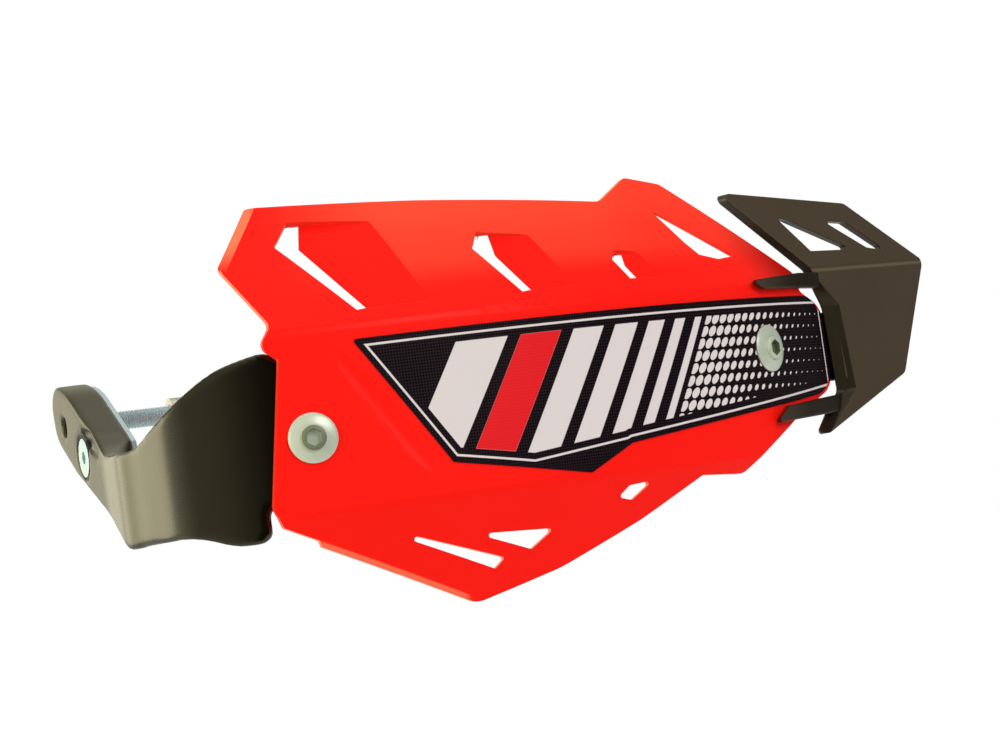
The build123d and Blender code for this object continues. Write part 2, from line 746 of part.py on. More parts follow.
def hex_nut(plane, across, thickness, collar, bore):
    """Lock nut on the plane: a hexagon with a round collar on its far side."""
    with BuildPart() as nut:
        with BuildSketch(plane):
            RegularPolygon(across / sqrt(3), 6)
        extrude(amount=thickness)
        with BuildSketch(plane.offset(thickness)):
            Circle(across * 0.46)
        extrude(amount=collar)
        with BuildSketch(plane):
            Circle(bore / 2 + shank_gap / 2)
        extrude(amount=thickness + collar, mode=Mode.SUBTRACT)
    return nut.part


def flange_screw(plane, grip):
    """Screw on the plane: a wide sloping flange, a button with a hex socket, and the shank below."""
    head, button, shank = screw_head / 2, screw_button / 2, screw_diameter / 2
    with BuildPart() as screw:
        with BuildSketch(section_of(plane)):
            with BuildLine():
                Polyline(
                    (0, -grip),
                    (shank - screw_bevel, -grip),
                    (shank, screw_bevel - grip),
                    (shank, 0),
                    (head, 0),
                    (head, screw_head_edge),
                    (button + screw_bevel, screw_flange_rise),
                    (button, screw_flange_rise),
                    (button, screw_head_height - screw_bevel),
                    (button - screw_bevel, screw_head_height),
                    (0, screw_head_height),
                    close=True,
                )
            make_face()
        revolve(axis=Axis(plane.origin, plane.z_dir))
        with BuildSketch(plane.offset(screw_head_height)):
            RegularPolygon(screw_socket / sqrt(3), 6)
        extrude(amount=-screw_socket_depth, mode=Mode.SUBTRACT)
    return screw.part


def cap_screw(plane, diameter, grip, socket):
    """Cylinder-head screw on the plane, with a hex socket and its shank below the plane."""
    with BuildPart() as screw:
        with BuildSketch(plane):
            Circle(diameter * 0.8)
        extrude(amount=diameter)
        rim = screw.edges().filter_by(GeomType.CIRCLE).sort_by(Axis(plane.origin, plane.z_dir))[-1]
        chamfer(rim, diameter / 12)
        with BuildSketch(plane):
            Circle(diameter / 2)
        extrude(amount=-grip)
        with BuildSketch(plane.offset(diameter)):
            RegularPolygon(socket / sqrt(3), 6)
        extrude(amount=-diameter / 2, mode=Mode.SUBTRACT)
    return screw.part


def facing_back(plane):
    """Same place, with z turned the other way."""
    return Plane(plane.origin, x_dir=plane.x_dir, z_dir=-plane.z_dir)


def write(part, name):
    """Label a finished piece and write it under its own name."""
    part.label = name
    export_step(part, f"parts/{name}.step")


# The two screws through the shield, each with a washer and a lock nut behind
for side, azimuth, height, seat in (
    ("outer", outer_screw_azimuth, outer_screw_height, outer_seat),
    ("inner", inner_screw_azimuth, inner_screw_height, inner_seat),
):
    stack = shield_radius - seat + washer_thickness + nut_thickness + nut_collar + thread_end
    write(flange_screw(band_plane(azimuth, height, shield_radius), stack), f"{side}_shield_screw")
    behind = facing_back(band_plane(azimuth, height, seat))
    write(washer(behind, washer_diameter, washer_thickness, screw_diameter), f"{side}_shield_washer")
    on_washer = behind.offset(washer_thickness)
    write(hex_nut(on_washer, nut_across, nut_thickness, nut_collar, screw_diameter), f"{side}_shield_nut")

# The clamp's screws come through the cap from behind and draw on nuts in front
for side, level in (("upper", clamp_screw_offset), ("lower", -clamp_screw_offset)):
    rear = Plane((clamp_x, lug_face, level), x_dir=(1, 0, 0), z_dir=(0, 1, 0))
    front = Plane((clamp_x, -lug_face, level), x_dir=(1, 0, 0), z_dir=(0, -1, 0))
    grip = 2 * lug_face + clamp_washer_thickness + clamp_nut_thickness + thread_end
    write(
        cap_screw(rear.offset(clamp_washer_thickness), clamp_screw_diameter, grip, clamp_screw_socket),
        f"clamp_screw_{side}",
    )
    write(
        washer(rear, clamp_washer_diameter, clamp_washer_thickness, clamp_screw_diameter),
        f"clamp_washer_{side}",
    )
    write(
        hex_nut(front, clamp_nut_across, clamp_nut_thickness, clamp_nut_collar, clamp_screw_diameter),
        f"clamp_nut_{side}",
    )

with BuildPart() as backing_plate:
    with BuildSketch(Plane.YZ.offset(-plate_thickness)):
        add(eye_profile())
        offset(amount=-plate_inset, mode=Mode.REPLACE)
        with Locations((plate_end - eye_end, 0)):
            Rectangle(2 * eye_end, 4 * eye_end, mode=Mode.SUBTRACT)
    extrude(amount=plate_thickness)
    with BuildSketch(Plane.YZ):
        with Locations((eye_screw_y, eye_screw_z)):
            Circle(clinch_diameter / 2)
    extrude(amount=clinch_height)
    with BuildSketch(Plane.YZ.offset(-plate_thickness)):
        Circle(screw_diameter / 2 + shank_gap)
        with Locations((eye_screw_y, eye_screw_z)):
            Circle(screw_diameter / 2 + shank_gap / 2)
    extrude(amount=plate_thickness + clinch_height, mode=Mode.SUBTRACT)
write(backing_plate.part, "backing_plate")

with BuildPart() as eye_screw:
    with BuildSketch(Plane.XZ.offset(-eye_screw_y)):
        with BuildLine():
            Polyline(*[(x, eye_screw_z + r) for x, r in eye_screw_profile(0)], close=True)
        make_face()
    revolve(axis=Axis((0, eye_screw_y, eye_screw_z), (1, 0, 0)))
    with BuildSketch(Plane.YZ.offset(eye_outside + eye_screw_recess)):
        with Locations((eye_screw_y, eye_screw_z)):
            RegularPolygon(eye_screw_socket / sqrt(3), 6)
    extrude(amount=eye_screw_cone, mode=Mode.SUBTRACT)
write(eye_screw.part, "eye_screw")

# Expander: two cones on the bolt spread a split sleeve inside the bar
sleeve_radius = bar_bore / 2 - expander_play
sleeve_bore = sleeve_radius - sleeve_wall
cone_big = sleeve_radius - sleeve_wall / 4
sleeve_end = expander_start + expander_length
bolt_end = sleeve_end + cone_length + thread_end


def turned(*corners):
    """Ring turned about the bar's axis from a half section in x and radius."""
    with BuildPart() as ring:
        with BuildSketch(Plane.XZ):
            with BuildLine():
                Polyline(*corners, close=True)
            make_face()
        revolve(axis=Axis.X)
    return ring.part


bolt_radius = screw_diameter / 2
bolt_bore = bolt_radius + shank_gap / 2
head_back = -plate_thickness - bolt_head_height
collar_start = expander_start - cone_flange
collar_face = expander_start - shank_gap
collar_tip = expander_start + cone_length
nut_tip = sleeve_end - cone_length
nut_face = sleeve_end + shank_gap
nut_end = sleeve_end + cone_flange

with BuildPart() as expander_bolt:
    add(
        turned(
            (head_back, 0),
            (head_back, bolt_head / 2),
            (-plate_thickness, bolt_head / 2),
            (-plate_thickness, bolt_radius),
            (bolt_end - thread_end / 2, bolt_radius),
            (bolt_end, bolt_radius - thread_end / 2),
            (bolt_end, 0),
        )
    )
    with BuildSketch(Plane.YZ.offset(head_back)):
        RegularPolygon(bolt_socket / sqrt(3), 6)
    extrude(amount=bolt_head_height / 2, mode=Mode.SUBTRACT)
write(expander_bolt.part, "expander_bolt")

expander_collar = turned(
    (collar_start, bolt_bore),
    (collar_start, sleeve_radius),
    (collar_face, sleeve_radius),
    (collar_face, cone_big),
    (collar_tip, sleeve_bore),
    (collar_tip, bolt_bore),
)
write(expander_collar, "expander_collar")

expander_cone_nut = turned(
    (nut_tip, bolt_bore),
    (nut_tip, sleeve_bore),
    (nut_face, cone_big),
    (nut_face, sleeve_radius),
    (nut_end, sleeve_radius),
    (nut_end, bolt_bore),
)
write(expander_cone_nut, "expander_cone_nut")

with BuildPart() as expander_sleeve:
    add(
        turned(
            (expander_start, cone_big + shank_gap),
            (collar_tip, sleeve_bore + shank_gap),
            (nut_tip, sleeve_bore + shank_gap),
            (sleeve_end, cone_big + shank_gap),
            (sleeve_end, sleeve_radius),
            (expander_start, sleeve_radius),
        )
    )
    with Locations(((expander_start + sleeve_end) / 2, sleeve_radius, 0)):
        Box(2 * expander_length, 2 * sleeve_radius, expander_slit, mode=Mode.SUBTRACT)
write(expander_sleeve.part, "expander_sleeve")
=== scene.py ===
# %% [markdown]
# # A motorcycle hand guard in the studio
# The guard is a curved plastic shield in front of the rider's hand. An outer arm holds it at the
# handlebar's open end, a clamp behind it holds its inner end, and a small wing at the side turns the
# wind. The CAD model already has every piece in place, so this lesson adds what CAD leaves out: the
# camera, the light, the finishes, fasteners with real threads, and round edges on the outer arm.

import json
import math

import bmesh
import bpy
import numpy as np
from mathutils import Matrix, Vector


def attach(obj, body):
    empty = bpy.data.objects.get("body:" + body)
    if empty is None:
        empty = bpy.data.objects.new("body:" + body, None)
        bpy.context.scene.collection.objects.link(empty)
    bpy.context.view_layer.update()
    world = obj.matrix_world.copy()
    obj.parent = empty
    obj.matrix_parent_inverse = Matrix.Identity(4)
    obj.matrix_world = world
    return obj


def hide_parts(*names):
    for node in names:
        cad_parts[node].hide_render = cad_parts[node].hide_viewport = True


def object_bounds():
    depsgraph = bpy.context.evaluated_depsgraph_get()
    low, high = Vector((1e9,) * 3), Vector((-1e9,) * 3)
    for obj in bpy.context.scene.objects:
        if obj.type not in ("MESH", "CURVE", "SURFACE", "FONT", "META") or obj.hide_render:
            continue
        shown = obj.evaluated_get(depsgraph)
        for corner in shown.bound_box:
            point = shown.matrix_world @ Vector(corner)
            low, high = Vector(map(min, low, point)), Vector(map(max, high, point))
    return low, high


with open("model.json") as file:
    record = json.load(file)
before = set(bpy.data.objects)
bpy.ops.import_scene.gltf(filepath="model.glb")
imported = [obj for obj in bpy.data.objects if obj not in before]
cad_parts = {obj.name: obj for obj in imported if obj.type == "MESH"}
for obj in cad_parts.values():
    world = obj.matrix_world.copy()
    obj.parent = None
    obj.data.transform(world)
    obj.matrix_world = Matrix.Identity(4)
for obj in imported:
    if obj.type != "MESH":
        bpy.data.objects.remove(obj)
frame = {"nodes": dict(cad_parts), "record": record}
nodes = frame["nodes"]
scene = bpy.context.scene
mm = 0.001
cad_box = [list(corner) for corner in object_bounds()]
print("CAD box, metres:", np.round(cad_box, 4).tolist())

# %% [markdown]
# ## Camera
# A camera could be placed by eye, but here the viewing angle is worked out from three turns: how far
# the camera goes round the part, how far it looks up from below, and how far it is rolled. Its place
# then follows from the pixel where the frame's origin should appear. A long lens keeps the guard's
# two ends at nearly the same scale.

# %% Set the camera
image_width, image_height = 1000, 750
origin_pixel = (103, 423)
focal_pixels = 3840
view_distance = 1.6
view_azimuth, view_elevation, view_roll = np.radians((-20, -3, 8))
sensor_width = 36
far_clip = 100

level_right = np.array((math.cos(view_azimuth), math.sin(view_azimuth), 0))
camera_back = np.array((
    math.sin(view_azimuth) * math.cos(view_elevation),
    -math.cos(view_azimuth) * math.cos(view_elevation),
    math.sin(view_elevation),
))
level_up = np.cross(camera_back, level_right)
camera_right = level_right * math.cos(view_roll) - level_up * math.sin(view_roll)
camera_up = level_right * math.sin(view_roll) + level_up * math.cos(view_roll)
metres_per_pixel = view_distance / focal_pixels
camera_place = (
    camera_back * view_distance
    + camera_right * (image_width / 2 - origin_pixel[0]) * metres_per_pixel
    + camera_up * (origin_pixel[1] - image_height / 2) * metres_per_pixel
)


def aimed(right, up, back, place):
    """Matrix of a camera or lamp, whose columns are its right, up and back directions and its place."""
    columns = np.column_stack((right, up, back, place))
    return Matrix(columns.tolist() + [[0, 0, 0, 1]])


camera = bpy.data.objects.new("camera", bpy.data.cameras.new("camera"))
camera.data.sensor_width = sensor_width
camera.data.lens = sensor_width * focal_pixels / image_width
camera.data.clip_end = far_clip
camera.matrix_world = aimed(camera_right, camera_up, camera_back, camera_place)
scene.collection.objects.link(camera)
scene.camera = camera
print("camera at", np.round(camera_place, 3), "lens", round(camera.data.lens, 1), "mm")

# %% [markdown]
# ## Shader sums in Python
# A material is a graph of nodes. Drawing it by hand hides the formula, so a small class wraps an output
# socket and lets Python's operators add the Math nodes. Every other kind of node comes from one method.


# %% Wrap a socket
class Signal:
    """One output socket. Sums on signals add Math nodes, and node() adds any other node."""

    def __init__(self, socket):
        self.socket = socket

    def node(self, kind, settings=None, inputs=None, output=0):
        """Add a node, set its settings, fill its sockets with values or signals, give one output."""
        tree = self.socket.id_data
        made = tree.nodes.new(kind)
        for name, value in (settings or {}).items():
            setattr(made, name, value)
        for key, value in (inputs or {}).items():
            if isinstance(value, Signal):
                tree.links.new(value.socket, made.inputs[key])
            else:
                made.inputs[key].default_value = value
        return Signal(made.outputs[output])

    def maths(self, operation, *others):
        """A Math node over this signal and then others, which are signals or numbers."""
        terms = dict(enumerate((self, *others)))
        return self.node("ShaderNodeMath", {"operation": operation}, terms)

    def number_first(self, operation, number):
        """A Math node over a number and then this signal."""
        return self.node("ShaderNodeMath", {"operation": operation}, {0: number, 1: self})

    def __add__(self, other):
        return self.maths("ADD", other)

    def __radd__(self, number):
        return self.number_first("ADD", number)

    def __sub__(self, other):
        return self.maths("SUBTRACT", other)

    def __rsub__(self, number):
        return self.number_first("SUBTRACT", number)

    def __mul__(self, other):
        return self.maths("MULTIPLY", other)

    def __rmul__(self, number):
        return self.number_first("MULTIPLY", number)

    def __truediv__(self, other):
        return self.maths("DIVIDE", other)

    def __rtruediv__(self, number):
        return self.number_first("DIVIDE", number)

    def __abs__(self):
        return self.maths("ABSOLUTE")

    def larger(self, other):
        """The larger of two values."""
        return self.maths("MAXIMUM", other)

    def smaller(self, other):
        """The smaller of two values."""
        return self.maths("MINIMUM", other)

    def step(self, low, high):
        """0 below low and 1 above high, with a smooth rise between; low may be above high."""
        ranges = {0: self, 1: low, 2: high, 3: 0.0, 4: 1.0}
        return self.node("ShaderNodeMapRange", {"interpolation_type": "SMOOTHSTEP"}, ranges)

    def between(self, low, high, soft):
        """1 between low and high and 0 outside, with edges this soft."""
        return self.step(low - soft, low + soft) * self.step(high + soft, high - soft)

    def vector(self, operation, fixed):
        """The number that a Vector Math node gives for a vector signal and a fixed vector."""
        return self.node("ShaderNodeVectorMath", {"operation": operation}, {0: self, 1: fixed}, "Value")

    def xyz(self):
        """The three numbers of a vector signal."""
        return [self.node("ShaderNodeSeparateXYZ", None, {0: self}, axis) for axis in range(3)]

    def noise(self, scale, detail=2.0):
        """Cloudy noise from 0 to 1 over a vector signal, with this many clouds to the metre."""
        return self.node("ShaderNodeTexNoise", None, {"Vector": self, "Scale": scale, "Detail": detail})

    def mix(self, first, second):
        """Colour that goes from the first to the second as this signal goes from 0 to 1."""
        return self.node("ShaderNodeMix", {"data_type": "RGBA"}, {0: self, 6: first, 7: second}, 2)


print("shader class with", sum(map(callable, vars(Signal).values())), "methods")

# %% [markdown]
# ## From a painter to a material
# Each finish below is a painter: a function of the place and the surface normal that gives the signals
# for the shader's sockets. One function does what all finishes share. It joins the signals to the shader,
# and it lets a Bevel node round the light on sharp edges, because no moulded edge is truly sharp.

# %% Turn painters into materials
bevel_samples = 6


def srgb(red, green, blue):
    """Linear colour, with alpha, for an 8-bit screen colour."""
    channel = np.array((red, green, blue)) / 255
    linear = np.where(channel > 0.04045, ((channel + 0.055) / 1.055) ** 2.4, channel / 12.92)
    return (*linear.tolist(), 1.0)


def millimetres(place):
    """The three coordinates of a place, in millimetres."""
    return [axis / mm for axis in place.xyz()]


def finish_of(name, paint, edge, **constants):
    """A material: paint(place, normal) gives signals by socket name, and constants are set as they are.

    The sockets' names are written with underscores. bump is a height in metres for a Bump node, and edge
    is the radius in metres to which a Bevel node rounds the light on sharp edges.
    """
    material = bpy.data.materials.new(name)
    material.use_nodes = True
    shader = material.node_tree.nodes["Principled BSDF"]
    for socket, value in constants.items():
        shader.inputs[socket.replace("_", " ")].default_value = value
    coordinates = material.node_tree.nodes.new("ShaderNodeTexCoord")
    geometry = material.node_tree.nodes.new("ShaderNodeNewGeometry")
    place = Signal(coordinates.outputs["Object"])
    painted = paint(place, Signal(geometry.outputs["Normal"]))
    rounded = place.node("ShaderNodeBevel", {"samples": bevel_samples}, {"Radius": edge})
    relief = {"Distance": 1.0, "Height": painted.pop("bump"), "Normal": rounded}
    painted["Normal"] = place.node("ShaderNodeBump", None, relief)
    for socket, signal in painted.items():
        material.node_tree.links.new(signal.socket, shader.inputs[socket.replace("_", " ")])
    print("finish", name, "with", len(material.node_tree.nodes), "nodes")
    return material


def dress(material, *names):
    """Give CAD nodes a material."""
    for name in names:
        nodes[name].data.materials.clear()
        nodes[name].data.materials.append(material)


print("bevel of", bevel_samples, "samples")

# %% [markdown]
# ## Red shield plastic
# The shield is injection-moulded in a glossy fluorescent red. Light that enters such plastic comes out at
# its thin rims, and that glow is painted: the walls of the edges and vents are painted paler than the
# faces. A face that belongs to a rim points across the shield, so the rim is found from the surface
# normal: a face looks outwards when its normal follows the line from the shield's axis, and a rim does
# not. Painting each rim by hand would also work, but the formula finds them all. Other painted light has
# a place of its own. The turned-in end of the wing and the lip of the skirt's lower edge have the same
# pale orange as a painted highlight, the upper wing has orange painted light from above, and painted shade
# darkens the fin towards its tip. Where the sticker's film leaves a narrow strip of the shield bare, at
# its right end and round the second screw, the strip has the film's black.

# %% Paint the shield
shield_axis = (96.0, 197.0)
shield_radius = 321.0
inner_screw_azimuth, inner_screw_height = 33.5, -6.5
red = srgb(255, 25, 14)
# Painted light and shade: orange light from above, a pale glow on rims, and shade at the fin's tip.
painted_sky_orange = srgb(255, 74, 47)
painted_rim_orange = srgb(252, 128, 90)
fin_shade_red = srgb(150, 14, 10)
film_black = srgb(18, 9, 14)

# Masks, in millimetres, with tilts as cosines. A pair is the start and the end of a smooth change, and
# three numbers are the two ends of a range and how soft they are. lip_start and fin_tip are points in X
# and Z, each with a unit direction as its run and rise.
rim_tilt, wing_end_tilt, sky_tilt = (0.6, 0.25), (0.8, 0.74), (0.48, 0.525)
wing_end_x, wing_end_z, wing_end_share = (56, 48), (46, 60), 0.8
lip_start, lip_run, lip_rise = (52, -65.2), 0.904, 0.428
lip_x, lip_depth, lip_share = (51, 112, 2), (2.2, 1.4), 0.7
band_end_x, band_end_z, band_end_loss = (46, 42), (-55, 23, 3), 0.85
sky_x, sky_z, sky_top_z, sky_low_share = (45, 110), (30, 45), (45, 70), 0.6
sky_fade_x, sky_fade_loss = (190, 230), 0.35
fin_tip, fin_run, fin_rise = (301, 26), 0.584, 0.812
# Where painted shade darkens the fin towards its tip.
fin_shade_depth, fin_shade_x, fin_shade_z, fin_shade_share = (20, 5), (258, 296), (21, 25), 0.7
film_end_x, film_end_z, film_hole = (312.5, 313.5), (-28.5, 17, 0.5), (11.3, 10.9)
ripple_scale, fleck_scale = 14.0, 900.0


def band_plane(azimuth, height, radius):
    """Place on the band in metres, the direction along it, and the direction outwards.

    place = axis + radius (sin a, -cos a) and the height above them, where a is the azimuth.
    """
    a = math.radians(azimuth)
    out = np.array((math.sin(a), -math.cos(a), 0))
    place = (np.array((*shield_axis, height)) + out * radius) * mm
    return place, np.array((math.cos(a), math.sin(a), 0)), out


inner_screw_place = band_plane(inner_screw_azimuth, inner_screw_height, shield_radius)[0]


def paint_shield(place, normal):
    """Red with painted light and shade: pale rims and lips, orange from above, a dark fin tip; a faint
    moulded ripple.

    A face looks outwards by |n . o|, where n is its normal and o the unit direction from the axis.
    """
    x, y, z = millimetres(place)
    out_x, out_y = x - shield_axis[0], y - shield_axis[1]
    face_x, face_y, face_z = normal.xyz()
    outwards = abs(face_x * out_x + face_y * out_y) / (out_x * out_x + out_y * out_y).maths("SQRT")

    # Painted glow and highlight: the rims, the wing's turned-in end and the skirt's lip turn pale orange.
    wing_end = x.step(*wing_end_x) * z.step(*wing_end_z) * outwards.step(*wing_end_tilt)
    above_lip = (x - lip_start[0]) * lip_rise + (z - lip_start[1]) * lip_run
    lip = above_lip.step(*lip_depth) * x.between(*lip_x)
    band_end = x.step(*band_end_x) * z.between(*band_end_z)
    edges = outwards.step(*rim_tilt) * (1 - band_end_loss * band_end)
    rim = edges.larger(wing_end_share * wing_end + lip_share * lip)

    # Painted light from above: the upper wing's upward faces turn orange.
    painted_sky = face_z.step(*sky_tilt) * x.step(*sky_x) * z.step(*sky_z)
    painted_sky = painted_sky * (sky_low_share + (1 - sky_low_share) * z.step(*sky_top_z))
    painted_sky = painted_sky * (1 - sky_fade_loss * x.step(*sky_fade_x))
    # Painted shade: the fin darkens towards its tip.
    below_fin = (fin_tip[0] - x) * fin_run + (fin_tip[1] - z) * fin_rise
    fin_shade = fin_shade_share * below_fin.step(*fin_shade_depth) * x.step(*fin_shade_x) * z.step(*fin_shade_z)

    from_screw = place.vector("DISTANCE", inner_screw_place.tolist()) / mm
    film = x.step(*film_end_x) * z.between(*film_end_z) + from_screw.step(*film_hole)
    face = fin_shade.mix(painted_sky.mix(red, painted_sky_orange), fin_shade_red)
    ripple = place.noise(ripple_scale)
    fleck = place.noise(fleck_scale)
    return {
        "Base_Color": film.mix(rim.mix(face, painted_rim_orange), film_black),
        "Roughness": 0.26 + 0.08 * ripple + 0.05 * fleck,
        "bump": ripple * (0.4 * mm) + fleck * (0.004 * mm),
    }


shield_plastic = finish_of("shield_plastic", paint_shield, 0.8 * mm, Specular_IOR_Level=0.07)
dress(shield_plastic, "shield")

# %% [markdown]
# ## Dark satin plastics
# The arms and the deflector are moulded in dark plastic with a fine eroded grain, which breaks up
# reflections without showing dots. The outer arm's gloss changes along its length: the strip is smoother
# than the eye, and a clear coat polishes the neck below the eye and the bend after it. On the deflector
# only the two broad faces are grained, with a painted highlight along their fold. Its walls and tongues
# are polished, and painted shade makes them nearly black. They could have a material of their own, face
# by face, but the direction of the surface already tells them apart.

# %% Paint the arms and the deflector
drift_scale, grain_scale, grain_detail = 30.0, 1400.0, 3.0
warm_gloss = (1.0, 0.95, 0.68, 1.0)
strip_start_x, strip_end_x = (6, 24), (140, 120)
neck_y, bend_y, bend_x, polish_share = (-79, -58, 6), (-86, -95), (6, -4), 0.7
deflector_front = (0.342, -0.94, 0.0)
deflector_top = (0.312, -0.858, 0.407)
broad_tilt = (0.95, 0.985)
# Height of the painted highlight along the fold.
fold_highlight_z = (25.5, 26.8, 0.4)


def paint_arm(place, normal):
    """Near black that drifts between two colours, smoother on the strip, coated at neck and bend."""
    x, y = millimetres(place)[:2]
    grain = place.noise(grain_scale, grain_detail)
    strip = x.step(*strip_start_x) * x.step(*strip_end_x)
    polish = y.step(*bend_y) * x.step(*bend_x) + y.between(*neck_y)
    return {
        "Base_Color": place.noise(drift_scale).mix(srgb(10, 8, 4), srgb(13, 11, 6)),
        "Coat_Weight": polish_share * polish,
        "Roughness": 0.24 + 0.06 * grain - 0.16 * strip,
        "bump": grain * (0.004 * mm),
    }


def paint_deflector(place, normal):
    """Satin front and leaning top with a painted highlight at the fold; elsewhere smoother and in painted
    shade.
    """
    front = normal.vector("DOT_PRODUCT", deflector_front).step(*broad_tilt)
    top = normal.vector("DOT_PRODUCT", deflector_top).step(*broad_tilt)
    # The grained broad faces keep the satin colour; the walls and tongues get a painted shade, nearly
    # black.
    grained_and_lit = front.larger(top)
    grain = place.noise(grain_scale, grain_detail)
    satin = place.noise(drift_scale).mix(srgb(66, 55, 42), srgb(72, 60, 46))
    # A painted highlight along the front's fold.
    fold_highlight = millimetres(place)[2].between(*fold_highlight_z) * front
    return {
        "Base_Color": grained_and_lit.mix(srgb(32, 25, 16), fold_highlight.mix(satin, srgb(96, 84, 67))),
        "Roughness": 0.28 + 0.12 * grained_and_lit + 0.1 * grain,
        "bump": grained_and_lit * grain * (0.015 * mm),
    }


arm_plastic = finish_of(
    "arm_plastic", paint_arm, 0.3 * mm,
    Specular_IOR_Level=0.6, Specular_Tint=warm_gloss, Coat_IOR=1.8, Coat_Roughness=0.25,
)
deflector_plastic = finish_of(
    "deflector_plastic", paint_deflector, 1.2 * mm, Specular_IOR_Level=0.35, Specular_Tint=warm_gloss,
)
dress(arm_plastic, "outer_arm", "inner_arm", "clamp_cap")
dress(deflector_plastic, "deflector")

# %% [markdown]
# ## Zinc and turned alloy
# Screws, nuts and plates are zinc plated: bright, a little cloudy, with a cool green cast, and bluer on
# the fittings of the bar's end. A separate material could show where a turned piece is a darker grey, but
# a point attribute can mark those rows of it in the same one. In the inner screw's socket that grey is
# painted shade. The expander in the bar's bore is plain turned alloy.

# %% Paint the metals
darkened_grey = srgb(112, 122, 95)
cloud_shade, cloud_scale, brush_scale = 0.85, 220.0, 1800.0


def metal(colour, rough):
    """Painter of a plated metal with cloudy colour and roughness, and a darker grey on marked rows."""

    def paint(place, normal):
        cloud = place.noise(cloud_scale)
        # Marked rows turn a darker grey; in the inner screw's socket this is painted shade.
        dull = place.node("ShaderNodeAttribute", {"attribute_name": "dull"}, None, "Fac")
        plated = cloud.mix(colour, (*(cloud_shade * channel for channel in colour[:3]), 1.0))
        return {
            "Base_Color": dull.mix(plated, darkened_grey),
            "Roughness": rough + 0.12 * cloud + 0.1 * dull,
            "bump": place.noise(brush_scale) * (0.01 * mm),
        }

    return paint


zinc = finish_of("zinc", metal(srgb(206, 215, 193), 0.3), 0.3 * mm, Metallic=0.25)
blue_zinc = finish_of("blue_zinc", metal(srgb(188, 216, 222), 0.3), 0.3 * mm, Metallic=0.25)
alloy = finish_of("alloy", metal(srgb(190, 190, 186), 0.34), 0.3 * mm, Metallic=1.0)
slot_of = {part["node"]: part["material_slot"] for part in frame["record"]["subparts"]}
zinc_nodes = [name for name, slot in slot_of.items() if slot == "zinc_steel"]
alloy_nodes = [name for name, slot in slot_of.items() if slot == "expander_alloy"]
dress(zinc, *zinc_nodes)
dress(blue_zinc, "eye_screw", "backing_plate")
dress(alloy, *alloy_nodes)
print(len(zinc_nodes), "zinc pieces,", len(alloy_nodes), "alloy pieces")

# %% [markdown]
# ## Sticker
# A printed film lies on the shield's band. An image could be wrapped on it, but a print made of straight
# edges is sharper as a formula. It is drawn in the film's own flat coordinates: the arc length along the
# turned band, and the height. The distance from the film's border gives the keyline and clips the
# print: slanted blades that get thinner along the band and then break up into dots.

# %% Paint the sticker
film_weave = srgb(30, 21, 26)
film_grey = srgb(222, 212, 210)
film_red = srgb(228, 30, 36)
film_corners = ((73, 14), (314, 15.3), (314, -26), (288, -29.4), (190, -40), (168.5, -50), (108, -39))
keyline_inset, field_inset = (2.4, 3.3, 0.12), (5.8, 6.1)
blade_lean, blade_offset, blade_soft = 0.62, 10.5, 0.15
blades = ((4, 27), (33, 52), (58, 73), (79, 91), (97, 106), (112, 118), (124, 128))
red_blade = blades[1]
dot_pitch, dot_radius, dot_shrink, dot_edge = 5.0, 0.44, 0.40, (-0.02, 0.02)
dots_begin, dots_fade = (131.0, 131.5), (126.0, 236.0)
weave_pitch, weave_edge, sheen_scale = 2.4, (0.45, 0.55), 500.0


def along_band(x):
    """Arc length on the band at this x, in millimetres: radius * asin((x - axis) / radius)."""
    return shield_radius * math.asin((x - shield_axis[0]) / shield_radius)


def inside_line(along, height, first, second):
    """Distance to the right of the line from the first to the second corner, in millimetres."""
    start, end = [np.array((along_band(x), z)) for x, z in (first, second)]
    run = (end - start) / np.linalg.norm(end - start)
    return (along - float(start[0])) * float(run[1]) - (height - float(start[1])) * float(run[0])


def fraction(value, pitch):
    """How far a value is through its cell of this pitch, from 0 to 1."""
    return (value / pitch).maths("FRACT")


def paint_sticker(place, normal):
    """Blades, dots and a keyline in grey, and one red blade, on a black weave.

    The border is the least distance inside the film's edges. The outline turns inwards once, between its
    fourth and fifth edges, and there the larger of the two distances counts.
    """
    x, y, height = millimetres(place)
    along = (x - shield_axis[0]).maths("ARCTAN2", shield_axis[1] - y) * shield_radius
    edges = zip(film_corners, film_corners[1:] + film_corners[:1])
    depths = [inside_line(along, height, first, second) for first, second in edges]
    border = depths[3].larger(depths[4])
    for depth in depths[:3] + depths[5:]:
        border = border.smaller(depth)
    field = border.step(*field_inset)

    slant = along - blade_lean * height - blade_offset
    blade_mask = sum(slant.between(low, high, blade_soft) for low, high in blades) * field
    red_mask = slant.between(*red_blade, blade_soft) * field
    dot_x, dot_y = [fraction(value, dot_pitch) - 0.5 for value in (slant, height)]
    from_dot = (dot_x * dot_x + dot_y * dot_y).maths("SQRT")
    inside_dot = dot_radius - dot_shrink * slant.step(*dots_fade) - from_dot
    dots = inside_dot.step(*dot_edge) * slant.step(*dots_begin) * field
    grey_mask = (blade_mask + dots + border.between(*keyline_inset)).smaller(1.0)

    rising = fraction(along + height, weave_pitch).step(*weave_edge)
    falling = fraction(along - height, weave_pitch).step(*weave_edge)
    weave = abs(rising - falling)
    ground = weave.mix(film_black, film_weave)
    return {
        "Base_Color": red_mask.mix(grey_mask.mix(ground, film_grey), film_red),
        "Roughness": 0.22 + 0.08 * weave + 0.05 * place.noise(sheen_scale),
        "bump": (1 - grey_mask) * weave * (0.01 * mm),
    }


sticker_film = finish_of("sticker_film", paint_sticker, 0.1 * mm, Specular_IOR_Level=0.12)
dress(sticker_film, "graphic_sticker")
print(len(blades), "blades on the sticker")

